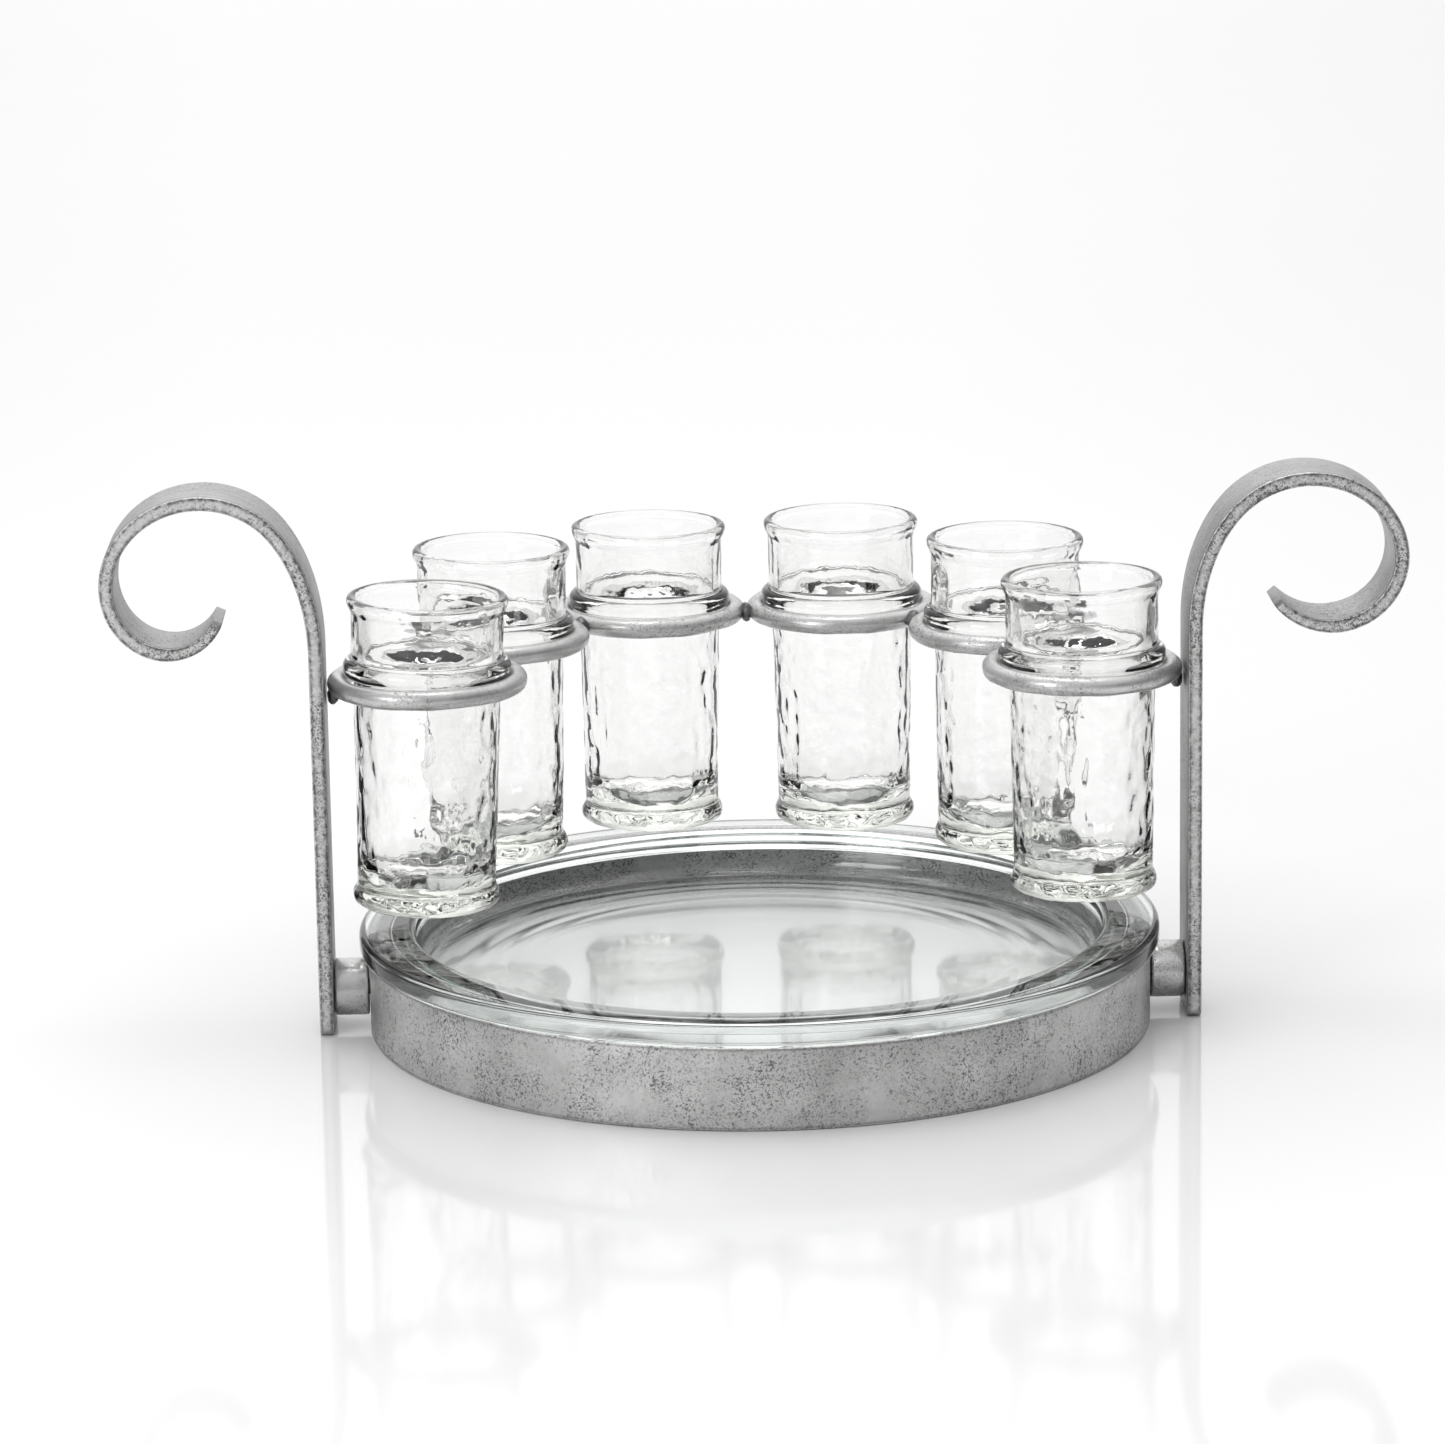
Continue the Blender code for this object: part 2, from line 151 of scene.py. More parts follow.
class Tree:
    """Adds nodes to one node tree, a material's or a Geometry Nodes group."""

    def __init__(self, node_tree):
        self.node_tree = node_tree

    def node(self, kind, settings=None, inputs=None, output=0):
        """Any node: its settings first, then the values or wires of its sockets."""
        made = self.node_tree.nodes.new(kind)
        for name, value in (settings or {}).items():
            setattr(made, name, value)
        for key, value in (inputs or {}).items():
            if isinstance(value, Wire):
                self.node_tree.links.new(value.socket, made.inputs[key])
            else:
                made.inputs[key].default_value = value
        return Wire(self, made.outputs[output] if len(made.outputs) else None)

    def vector(self, operation, *values, output=0):
        return self.node("ShaderNodeVectorMath", {"operation": operation}, dict(enumerate(values)), output)

    def combine(self, x, y, z):
        return self.node("ShaderNodeCombineXYZ", {}, {0: x, 1: y, 2: z})

    def split(self, vector):
        parts = self.node("ShaderNodeSeparateXYZ", {}, {0: vector})
        return [Wire(self, socket) for socket in parts.socket.node.outputs]

    def noise(self, vector, scale, detail=2.0, roughness=0.5, seed=0.0):
        """Cloudy noise from 0 to 1; another seed gives another cloud."""
        sizes = {"Vector": vector, "W": seed, "Scale": scale, "Detail": detail, "Roughness": roughness}
        return self.node("ShaderNodeTexNoise", {"noise_dimensions": "4D"}, sizes)

    def mix(self, factor, first, second):
        """A colour between two colours."""
        colours = [c if isinstance(c, Wire) else (*c, 1.0) for c in (first, second)]
        return self.node("ShaderNodeMix", {"data_type": "RGBA"}, {0: factor, 6: colours[0], 7: colours[1]}, 2)


# %% [markdown]
# ## The pewter coat
#
# The iron is bare-cast grey under a rubbed pewter coat.  Close up it has three layers of detail: broad
# clouds of lighter and darker grey, clusters of fine black pits where the coat didn't take, and along a
# bar's corners a painted highlight with a line of painted shade beside it.
#
# The clouds and pits are noise in Object coordinates.  The edges need to know where on the bar a point
# lies, so the bars carry an attribute, `section`: how far across, through and along the bar it is.

# %% Pewter
EDGE_HIGHLIGHT_WIDTH = 0.5 * MM         # width of the painted highlight along a bar's corner
EDGE_SHADE = 1.3 * MM       # width of the painted shade beside it
CLOUD_SCALE = 24.0          # clouds in a metre
PIT_SCALES = ((2300.0, 0.52, 0.62, 1.0), (1200.0, 0.57, 0.66, 1.0))  # pits in a metre, where they start, depth


def pewter(name, section=None, dark=0.48, light=0.76, pits=1.0, brush=0.0, side_dark=0.0, inner_pits_and_shade=0.0,
           polish=0.36):
    """Rubbed pewter; section is half the width and half the thickness of a bar, for the painted highlight and shade
    along its corners.
    """
    mat = bpy.data.materials.new(name)
    mat.use_nodes = True
    tree = Tree(mat.node_tree)
    shader = mat.node_tree.nodes["Principled BSDF"]
    place = tree.node("ShaderNodeTexCoord", output="Object")
    cloud = tree.noise(place, CLOUD_SCALE, detail=5.0, roughness=0.62)
    patch = tree.noise(place, 90.0, detail=4.0, roughness=0.65, seed=6.0)
    grain = tree.noise(place, 520.0, detail=3.0, roughness=0.7, seed=2.0)
    cluster = tree.noise(place, 42.0, detail=5.0, roughness=0.72, seed=5.0).step(0.38, 0.66)
    scale_mark = tree.noise(place, 620.0, detail=4.0, roughness=0.75, seed=9.0).step(0.42, 0.60)
    pit = 0.0
    for scale, start, end, depth in PIT_SCALES:
        dots = tree.noise(place, scale, detail=1.5, roughness=0.5, seed=scale).step(start, end)
        pit = dots * cluster * (depth * pits) + pit
    tone = cloud.step(0.34, 0.68) * 0.5 + patch.step(0.36, 0.66) * 0.30 + grain.step(0.3, 0.7) * 0.2
    if section:
        half_width, half_thickness = section
        spot = tree.node("ShaderNodeAttribute", {"attribute_name": "section"}, output="Vector")
        across, through, along = tree.split(spot)
        streak_place = tree.combine(across * 1100.0, through * 1100.0, along * 42.0)
        streak = tree.noise(streak_place, 1.0, detail=3.0, roughness=0.6, seed=3.0).step(0.32, 0.68)
        tone = tone * (1.0 - brush) + streak * brush
        to_side = half_width - across.math("ABSOLUTE", across)
        to_face = half_thickness - through.math("ABSOLUTE", through)
        on_side = to_side.step(0.35 * MM, 0.1 * MM)
        on_inner = (through * -1.0).step(half_thickness * 0.6, half_thickness * 0.9)
        to_corner = to_side.math("MAXIMUM", to_side, to_face)
        ragged = to_corner + (grain - 0.5) * EDGE_HIGHLIGHT_WIDTH * 1.4
        # painted highlight: a bright line along each rounded corner of the bar
        painted_edge_highlight = ragged.step(EDGE_HIGHLIGHT_WIDTH, EDGE_HIGHLIGHT_WIDTH * 0.3)
        # painted shade: a dark line beside the painted highlight
        painted_edge_shade = ragged.step(EDGE_SHADE, EDGE_HIGHLIGHT_WIDTH) * (1.0 - painted_edge_highlight)
        pit = pit * (1.0 + on_side * side_dark + on_inner * inner_pits_and_shade)
    colour = tree.mix(tone, (dark, dark, dark * 0.995), (light, light, light * 0.995))
    if section:
        at_corner = to_face.step(1.7 * MM, 0.5 * MM)
        side_mark = scale_mark * (0.25 + at_corner * 0.75)
        side_colour = tree.mix(side_mark, (0.76, 0.76, 0.755), (0.07, 0.07, 0.07))
        colour = tree.mix(on_side * side_dark, colour, side_colour)
        # painted shade: the bar's inner face is mixed towards dark grey
        colour = tree.mix(on_inner * inner_pits_and_shade * 0.35, colour, (0.10, 0.10, 0.10))
        # painted shade, darker on the narrow faces where scale marks lie
        painted_edge_shade = painted_edge_shade * (0.5 + on_side * scale_mark * 0.45)
        colour = tree.mix(painted_edge_shade, colour, (0.12, 0.12, 0.12))
        # the painted highlight goes over the colour last, in a light grey
        colour = tree.mix(painted_edge_highlight * 0.85, colour, (0.82, 0.82, 0.815))
    pit = pit.math("MINIMUM", pit, 1.0)
    colour = tree.mix(pit * 0.8, colour, (0.085, 0.085, 0.085))
    rough = polish + grain * 0.14 + pit * 0.25
    lumps = grain * 0.35 + patch * 0.65 - pit * 0.8
    bump = tree.node("ShaderNodeBump", {}, {"Strength": 0.25, "Distance": 0.35 * MM, "Height": lumps})
    links = mat.node_tree.links
    links.new(colour.socket, shader.inputs["Base Color"])
    links.new(rough.socket, shader.inputs["Roughness"])
    links.new(bump.socket, shader.inputs["Normal"])
    shader.inputs["Metallic"].default_value = 0.92
    return mat


# %% [markdown]
# ## Clear glass
#
# Glass is almost only its shape: no colour of its own, a mirror-smooth skin and an index of refraction
# of about 1.5.  Two things make it look made by hand.  The skin has faint ripples, a bump too shallow to
# be worth modelling.  And thick glass takes a little red out of the light, so a long way through the dish's
# rim looks green.  That depends on depth, which a Volume Absorption shader gives.

# %% Glass
def clear_glass(name, tint, density, ripple_scale, ripple_depth, soft_radius=0.0, softness=0.0):
    """Clear glass with a tint that grows with depth, and a softer polish within a radius of the hoop's axis."""
    mat = bpy.data.materials.new(name)
    mat.use_nodes = True
    tree = Tree(mat.node_tree)
    shader = mat.node_tree.nodes["Principled BSDF"]
    shader.inputs["Transmission Weight"].default_value = 1.0
    shader.inputs["IOR"].default_value = 1.5
    place = tree.node("ShaderNodeTexCoord", output="Object")
    wave = tree.noise(place, ripple_scale, detail=2.0, roughness=0.45, seed=1.0)
    haze = tree.noise(place, 180.0, detail=3.0, seed=4.0).step(0.62, 0.80)
    bump = tree.node("ShaderNodeBump", {}, {"Strength": 1.0, "Distance": ripple_depth, "Height": wave})
    colour = tree.mix(haze * 0.5, (1.0, 1.0, 1.0), (0.975, 0.985, 0.98))
    x, y, _ = tree.split(place)
    away = tree.vector("LENGTH", tree.combine(x - hoop_middle.x, y - hoop_middle.y, 0.0), output=1)
    rough = haze * 0.03 + away.step(soft_radius, soft_radius * 0.93) * softness
    links = mat.node_tree.links
    links.new(colour.socket, shader.inputs["Base Color"])
    links.new(rough.socket, shader.inputs["Roughness"])
    links.new(bump.socket, shader.inputs["Normal"])
    inside = tree.node("ShaderNodeVolumeAbsorption", {}, {"Color": (*tint, 1.0), "Density": density})
    output = mat.node_tree.nodes["Material Output"]
    links.new(inside.socket, output.inputs["Volume"])
    return mat


pewter_coat = pewter("pewter_rod", pits=0.75, polish=0.26)
turned_coat = pewter("pewter_turned", dark=0.46, light=0.76, pits=0.6, polish=0.15)
weld_finish = pewter("weld_bead", dark=0.08, light=0.30, pits=1.3)
steel = pewter("screw_steel", dark=0.45, light=0.62, pits=0.2)
blown_glass = clear_glass("blown_glass", (0.93, 0.96, 0.87), 14.0, 210.0, 0.08 * MM)
dish_glass = clear_glass("dish_glass", (0.80, 0.95, 0.89), 9.0, 20.0, 0.004 * MM, dish_radius * 0.86, 0.06)
print("materials", [m.name for m in bpy.data.materials if m.users or m.use_nodes][:8])


# %% [markdown]
# ## Helpers for finished pieces
#
# A Geometry Nodes modifier is live: it would be worked out again and again.  Once a piece is done, its
# evaluated mesh is copied out and the modifier goes, so that what is left is a plain mesh at the origin.

# %% Make, freeze and attach
def mesh_object(name, mesh):
    piece = bpy.data.objects.new(name, mesh)
    bpy.context.scene.collection.objects.link(piece)
    return piece


def new_group(name, inputs):
    """An empty Geometry Nodes group with named inputs; returns it, its tree and a wire for each input."""
    group = bpy.data.node_groups.new(name, "GeometryNodeTree")
    group.interface.new_socket("Geometry", in_out="INPUT", socket_type="NodeSocketGeometry")
    group.interface.new_socket("Geometry", in_out="OUTPUT", socket_type="NodeSocketGeometry")
    kinds = {float: "NodeSocketFloat", int: "NodeSocketInt", tuple: "NodeSocketVector"}
    for key, default in inputs.items():
        kind = kinds.get(type(default), "NodeSocketMaterial")
        socket = group.interface.new_socket(key, in_out="INPUT", socket_type=kind)
        if default is not None:
            socket.default_value = default
    tree = Tree(group)
    entry = tree.node("NodeGroupInput")
    wires = {s.name: Wire(tree, s) for s in entry.socket.node.outputs if s.name}
    return group, tree, wires


def end_group(tree, geometry, finish):
    """Realize Instances, Set Material and the group's output."""
    real = tree.node("GeometryNodeRealizeInstances", {}, {0: geometry})
    shaded = tree.node("GeometryNodeSetMaterial", {}, {"Geometry": real, "Material": finish})
    tree.node("NodeGroupOutput", {}, {0: shaded})


def grow(name, group, values, mesh=None):
    """Run a Geometry Nodes group on a mesh and keep the result as a plain mesh object."""
    seed_mesh = mesh or bpy.data.meshes.new(name + "_start")
    piece = mesh_object(name, seed_mesh)
    modifier = piece.modifiers.new(group.name, "NODES")
    modifier.node_group = group
    sockets = {s.name: s.identifier for s in group.interface.items_tree if s.in_out == "INPUT"}
    for key, value in values.items():
        modifier[sockets[key]] = value
    depsgraph = bpy.context.evaluated_depsgraph_get()
    grown = bpy.data.meshes.new_from_object(piece.evaluated_get(depsgraph), depsgraph=depsgraph)
    piece.modifiers.remove(modifier)
    piece.data = grown
    grown.name = name
    bpy.data.meshes.remove(seed_mesh)
    return piece


def smooth(piece, degrees=40.0):
    piece.data.shade_smooth()
    piece.data.set_sharp_from_angle(angle=math.radians(degrees))
    return piece


def attach(piece, body, slot, *nodes):
    """The piece takes the place of CAD nodes and moves with their body."""
    if nodes:
        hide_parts(*nodes)
    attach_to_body(piece, body)
    print(piece.name, "rides on", body, "with", len(piece.data.polygons), "faces")


# %% [markdown]
# ## Flat bar that follows a path
#
# The hoop and both handles are the same stock, flat bar bent on a former.  So one Geometry Nodes group
# makes all three: a path goes in, a section is swept along it, and the bar comes out.  The path is a
# plain mesh of edges.  Its normal is fixed to the direction of the bar's width, which keeps the bar from
# twisting.
#
# The ends of a handle are filed round and its tip is hammered a little thinner.  A swept section can't
# do that, so the group remembers the middle of the bar at each station, and afterwards pulls the
# vertices towards it.

# %% The bar group
def bar_group():
    group, tree, get = new_group("flat_bar", {
        "Width": 0.0254, "Thickness": 0.004, "Corner": 0.0005, "Side": (0.0, 1.0, 0.0), "End Round": 0.003,
        "Tip Thinning": 1.0, "Tip Length": 0.02, "Finish": None})
    path = tree.node("GeometryNodeMeshToCurve", {}, {0: get["Geometry"]})
    path = tree.node("GeometryNodeSetCurveNormal", {"mode": "FREE"}, {"Curve": path, "Normal": get["Side"]})
    place = tree.node("GeometryNodeInputPosition")
    path = tree.node("GeometryNodeStoreNamedAttribute", {"data_type": "FLOAT_VECTOR", "domain": "POINT"},
                     {"Geometry": path, "Name": "bar_middle", "Value": place})
    along = tree.node("GeometryNodeSplineParameter", output="Length")
    whole = tree.node("GeometryNodeSplineLength", output="Length")
    ends = tree.combine(along, whole - along, 0.0)
    path = tree.node("GeometryNodeStoreNamedAttribute", {"data_type": "FLOAT_VECTOR", "domain": "POINT"},
                     {"Geometry": path, "Name": "bar_ends", "Value": ends})
    outline = tree.node("GeometryNodeCurvePrimitiveQuadrilateral", {},
                        {"Width": get["Width"], "Height": get["Thickness"]})
    outline = tree.node("GeometryNodeFilletCurve", {"mode": "POLY"},
                        {"Curve": outline, "Radius": get["Corner"], "Count": 3})
    outline_place = tree.node("GeometryNodeInputPosition")
    outline = tree.node("GeometryNodeStoreNamedAttribute", {"data_type": "FLOAT_VECTOR", "domain": "POINT"},
                        {"Geometry": outline, "Name": "outline", "Value": outline_place})
    bar = tree.node("GeometryNodeCurveToMesh", {}, {"Curve": path, "Profile Curve": outline, "Fill Caps": True})

    def attribute(name):
        return tree.node("GeometryNodeInputNamedAttribute", {"data_type": "FLOAT_VECTOR"}, {"Name": name})

    from_start, from_end, _ = tree.split(attribute("bar_ends"))
    across, through, _ = tree.split(attribute("outline"))
    round_end = get["End Round"]
    near = from_start.math("MINIMUM", from_start, from_end)
    short = round_end - near.math("MINIMUM", near, round_end)
    lost = round_end - (round_end * round_end - short * short).math("SQRT", round_end * round_end - short * short)
    narrow = 1.0 - lost / (get["Width"] * 0.5)
    thin_share = from_end / get["Tip Length"]
    thin_share = thin_share.math("MINIMUM", thin_share, 1.0)
    thin = get["Tip Thinning"] + (1.0 - get["Tip Thinning"]) * thin_share
    centre = attribute("bar_middle")
    spot = tree.node("GeometryNodeInputPosition")
    offset = tree.vector("SUBTRACT", spot, centre)
    side_part = tree.vector("PROJECT", offset, get["Side"])
    thick_part = tree.vector("SUBTRACT", offset, side_part)
    side_part = tree.node("ShaderNodeVectorMath", {"operation": "SCALE"}, {0: side_part, "Scale": narrow})
    thick_part = tree.node("ShaderNodeVectorMath", {"operation": "SCALE"}, {0: thick_part, "Scale": thin})
    moved = tree.vector("ADD", centre, tree.vector("ADD", side_part, thick_part))
    bar = tree.node("GeometryNodeSetPosition", {}, {"Geometry": bar, "Position": moved})
    section = tree.combine(across * narrow, through, from_start)
    bar = tree.node("GeometryNodeStoreNamedAttribute", {"data_type": "FLOAT_VECTOR", "domain": "POINT"},
                    {"Geometry": bar, "Name": "section", "Value": section})
    end_group(tree, bar, get["Finish"])
    return group


def path_mesh(name, points, closed=False):
    """A mesh of edges from point to point."""
    mesh = bpy.data.meshes.new(name)
    count = len(points)
    edges = [(k, k + 1) for k in range(count - 1)] + ([(count - 1, 0)] if closed else [])
    mesh.from_pydata([tuple(p) for p in points], edges, [])
    return mesh


flat_bar = bar_group()
print("bar group has", len(flat_bar.nodes), "nodes")


# %% [markdown]
# ## The hoop
#
# Flat bar rolled on edge, with its seam ground flush.  The path is a circle at half the bar's height.

# %% Sweep the hoop
HOOP_STEPS = 256
HOOP_CORNER = 0.5 * MM

hoop_wall = hoop_outer - hoop_inner
hoop_line = (hoop_outer + hoop_inner) / 2
turns = [2 * math.pi * k / HOOP_STEPS for k in range(HOOP_STEPS)]
hoop_path = [hoop_middle + Vector((hoop_line * math.sin(a), -hoop_line * math.cos(a), hoop_height / 2))
             for a in turns]
hoop_finish = pewter("pewter_hoop", (hoop_height / 2, hoop_wall / 2), dark=0.42, light=0.76, pits=1.1,
                     inner_pits_and_shade=0.9)
hoop = grow("hoop", flat_bar, {
    "Width": hoop_height, "Thickness": hoop_wall, "Corner": HOOP_CORNER, "Side": (0.0, 0.0, 1.0),
    "End Round": 0.0, "Finish": hoop_finish}, path_mesh("hoop_path", hoop_path, closed=True))
attach(smooth(hoop), "stand", "pewter", "base_ring")


# %% [markdown]
# ## The scroll handles
#
# Each handle is a straight bar that starts to bend outwards above the rack and tightens into a scroll.
# A smith's scroll has a bend radius that changes smoothly with the angle turned.  So a few radii, at
# stations round the bend, say the whole shape, and the path is their sum in small steps.  Both were bent by
# hand, so left and right differ a little.

# %% Bend the handles
BAR_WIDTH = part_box("handle_left")[1].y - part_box("handle_left")[0].y
BAR_THICKNESS = 4.4 * MM
STATIONS = (0, 45, 100, 180, 270)       # degrees turned
RADII = {"left": (84.0, 28.0, 31.5, 23.0, 16.5), "right": (75.0, 31.0, 31.5, 20.8, 22.0)}
TURN = {"left": 336, "right": 320}
BEND_ABOVE_RODS = {"left": 11.2 * MM, "right": 13.6 * MM}
END_ROUND = 3.0 * MM
END_STATIONS = (0.0, 0.03, 0.12, 0.3, 0.6, 1.0)
BEND_STEP = 1.5                         # degrees


def scroll_path(word):
    """Points up the middle of one handle, from the table to the tip."""
    side = SIDES[word]
    low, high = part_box("handle_" + word)
    foot_x = (low.x if side > 0 else -high.x) + BAR_THICKNESS / 2
    out, up = foot_x, rod_height + BEND_ABOVE_RODS[word]
    start = [(foot_x, END_ROUND * share) for share in END_STATIONS]
    count = round(TURN[word] / BEND_STEP)
    bend = [(out, up)]
    for k in range(count):
        turned = (k + 0.5) * BEND_STEP
        radius = np.interp(turned, STATIONS, RADII[word]) * MM
        out += radius * math.sin(math.radians(turned)) * math.radians(BEND_STEP)
        up += radius * math.cos(math.radians(turned)) * math.radians(BEND_STEP)
        bend.append((out, up))
    straight = [(foot_x, z) for z in np.linspace(END_ROUND, bend[0][1], 24)[1:-1]]
    return [Vector((side * x, hoop_middle.y, z)) for x, z in start + straight + bend]


bar_finish = pewter("pewter_bar", (BAR_WIDTH / 2, BAR_THICKNESS / 2), dark=0.34, light=0.60, pits=0.7,
                    brush=0.5, side_dark=0.85)
for word in SIDES:
    handle = grow("scroll_handle_" + word, flat_bar, {
        "Width": BAR_WIDTH, "Thickness": BAR_THICKNESS, "Corner": 0.7 * MM, "Side": (0.0, 1.0, 0.0),
        "End Round": END_ROUND, "Tip Thinning": 0.7, "Tip Length": 22 * MM, "Finish": bar_finish},
        path_mesh("scroll_path_" + word, scroll_path(word)))
    attach(smooth(handle), "stand", "pewter", "handle_" + word)


# %% [markdown]
# ## The rack
#
# Six equal rings stand on an arc, which is repetition by a rule: an Arc curve with six points, one ring
# instanced on each.  The arc's middle and radius follow from three of the CAD's rings.

# %% Place the rings on their arc
RING_STEPS = 96
ROD_STEPS = 20


def circle_through(a, b, c):
    """Middle of the circle through three points in plan."""
    rows = np.array([[2 * (q.x - a.x), 2 * (q.y - a.y)] for q in (b, c)])
    right = np.array([q.x ** 2 - a.x ** 2 + q.y ** 2 - a.y ** 2 for q in (b, c)])
    x, y = np.linalg.solve(rows, right)
    return Vector((x, y, a.z))


def rack_group():
    group, tree, get = new_group("ring_rack", {
        "Arc Middle": (0.0, 0.0, 0.0), "Arc Radius": 0.1, "Start Angle": 0.0, "Sweep Angle": -3.0,
        "Ring Radius": 0.028, "Rod Radius": 0.003, "Unevenness": 0.0001, "Finish": None})
    arc = tree.node("GeometryNodeCurveArc", {"mode": "RADIUS"},
                    {"Resolution": CUP_COUNT, "Radius": get["Arc Radius"], "Start Angle": get["Start Angle"],
                     "Sweep Angle": get["Sweep Angle"]})
    circle = tree.node("GeometryNodeCurvePrimitiveCircle", {"mode": "RADIUS"},
                       {"Resolution": RING_STEPS, "Radius": get["Ring Radius"]})
    rod = tree.node("GeometryNodeCurvePrimitiveCircle", {"mode": "RADIUS"},
                    {"Resolution": ROD_STEPS, "Radius": get["Rod Radius"]})
    ring = tree.node("GeometryNodeCurveToMesh", {}, {"Curve": circle, "Profile Curve": rod})
    rings = tree.node("GeometryNodeInstanceOnPoints", {}, {"Points": arc, "Instance": ring})
    rings = tree.node("GeometryNodeTransform", {}, {"Geometry": rings, "Translation": get["Arc Middle"]})
    rings = tree.node("GeometryNodeRealizeInstances", {}, {0: rings})
    normal = tree.node("GeometryNodeInputNormal")
    place = tree.node("GeometryNodeInputPosition")
    dent = (tree.noise(place, 95.0, detail=2.0, seed=7.0) - 0.62) * get["Unevenness"]
    push = tree.node("ShaderNodeVectorMath", {"operation": "SCALE"}, {0: normal, "Scale": dent})
    rings = tree.node("GeometryNodeSetPosition", {}, {"Geometry": rings, "Offset": push})
    end_group(tree, rings, get["Finish"])
    return group


arc_middle = circle_through(ring_middles[0], ring_middles[2], ring_middles[5])
arc_radius = (ring_middles[0] - arc_middle).length
start_angle = math.atan2(ring_middles[0].y - arc_middle.y, ring_middles[0].x - arc_middle.x)
end_angle = math.atan2(ring_middles[5].y - arc_middle.y, ring_middles[5].x - arc_middle.x)
sweep = (end_angle - start_angle + math.pi) % (2 * math.pi) - math.pi
sweep = -abs(sweep)
rack = grow("ring_rack", rack_group(), {
    "Arc Middle": tuple(arc_middle), "Arc Radius": arc_radius, "Start Angle": start_angle,
    "Sweep Angle": sweep, "Ring Radius": ring_radius, "Rod Radius": rod_radius, "Unevenness": 0.9 * MM,
    "Finish": pewter_coat})
attach(smooth(rack, 60), "stand", "pewter", *[f"cup_ring_{k + 1}" for k in range(CUP_COUNT)])
print("arc radius", round(arc_radius, 4), "sweep", round(math.degrees(sweep), 1))


# %% [markdown]
# ## The welds
#
# Where two rods touch, the smith put one short bead of weld.  Each is a lump with a rough skin.  One
# group makes them all: a lump on each point, pushed in and out by noise.

# %% Add the weld beads
def weld_group():
    group, tree, get = new_group("weld_beads", {"Roughness": 0.0008, "Finish": None})
    lump = tree.node("GeometryNodeMeshIcoSphere", {}, {"Radius": 1.0, "Subdivisions": 4})
    size = tree.node("GeometryNodeInputNamedAttribute", {"data_type": "FLOAT_VECTOR"}, {"Name": "bead_size"})
    beads = tree.node("GeometryNodeInstanceOnPoints", {},
                      {"Points": get["Geometry"], "Instance": lump, "Scale": size})
    beads = tree.node("GeometryNodeRealizeInstances", {}, {0: beads})
    place = tree.node("GeometryNodeInputPosition")
    normal = tree.node("GeometryNodeInputNormal")
    depth = (tree.noise(place, 420.0, detail=2.0, seed=11.0) - 0.6) * get["Roughness"]
    push = tree.node("ShaderNodeVectorMath", {"operation": "SCALE"}, {0: normal, "Scale": depth})
    beads = tree.node("GeometryNodeSetPosition", {}, {"Geometry": beads, "Offset": push})
    end_group(tree, beads, get["Finish"])
    return group


weld_nodes = [f"ring_weld_{k + 1}" for k in range(CUP_COUNT - 1)] + ["handle_weld_left", "handle_weld_right"]
weld_mesh = path_mesh("weld_points", [middle(n) for n in weld_nodes])
half_sizes = [(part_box(n)[1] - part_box(n)[0]) / 2 for n in weld_nodes]
bead_size = weld_mesh.attributes.new("bead_size", "FLOAT_VECTOR", "POINT")
bead_size.data.foreach_set("vector", [c for size in half_sizes for c in size])
welds = grow("weld_beads", weld_group(), {"Roughness": 1.3 * MM, "Finish": weld_finish}, weld_mesh)
attach(smooth(welds, 60), "stand", "pewter", *weld_nodes)


# %% [markdown]
# ## Turned pieces
#
# Spacers, dish and cups are all shapes of revolution: half an outline, turned round an upright or a
# lying axis.  Round corners are arcs, so an outline is a list of short arcs and straight stretches.

# %% Outlines and turning
def arc(centre, radius, start, end, steps):
    """Points on an arc in the (r, z) plane, angles in degrees."""
    return [(centre[0] + radius * math.cos(a), centre[1] + radius * math.sin(a))
            for a in np.radians(np.linspace(start, end, steps + 1))]


def turn(name, outline, steps, closed=False):
    """Turn an (r, z) outline once round Z and close it into a mesh."""
    bm = bmesh.new()
    verts = [bm.verts.new((r, 0, z)) for r, z in outline]
    pairs = list(zip(verts[:-1], verts[1:])) + ([(verts[-1], verts[0])] if closed else [])
    edges = [bm.edges.new(pair) for pair in pairs]
    bmesh.ops.spin(bm, geom=verts + edges, cent=(0, 0, 0), axis=(0, 0, 1), angle=2 * math.pi,
                   steps=steps, use_merge=True)
    bmesh.ops.remove_doubles(bm, verts=bm.verts, dist=1e-7)
    bmesh.ops.recalc_face_normals(bm, faces=bm.faces)
    mesh = bpy.data.meshes.new(name)
    bm.to_mesh(mesh)
    bm.free()
    return mesh


# %% [markdown]
# ## The spacers
#
# Short turned rollers between the hoop and each handle, with a small chamfer at both ends.  The lathe left
# fine rings round them; here they get a smoother pewter coat than the bars, with no brushing.

# %% Turn the spacers
SPACER_STEPS = 72
for word, side in SIDES.items():
    node = "spacer_" + word
    low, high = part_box(node)
    radius, length = (high.z - low.z) / 2, high.x - low.x
    chamfer = 0.7 * MM
    bore = 2.8 * MM
    outline = [(bore, 0)] + arc((radius - chamfer, chamfer), chamfer, -90, 0, 4)
    outline += arc((radius - chamfer, length - chamfer), chamfer, 0, 90, 4) + [(bore, length)]
    mesh = turn(node, outline, SPACER_STEPS, closed=True)
    centre = (low + high) / 2
    mesh.transform(Matrix.Translation((low.x, centre.y, centre.z)) @ Matrix.Rotation(math.pi / 2, 4, "Y"))
    mesh.materials.append(turned_coat)
    spacer = mesh_object("spacer_roller_" + word, mesh)
    attach(smooth(spacer), "stand", "pewter", node)
    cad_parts["screw_" + word].data.materials.clear()
    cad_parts["screw_" + word].data.materials.append(steel)


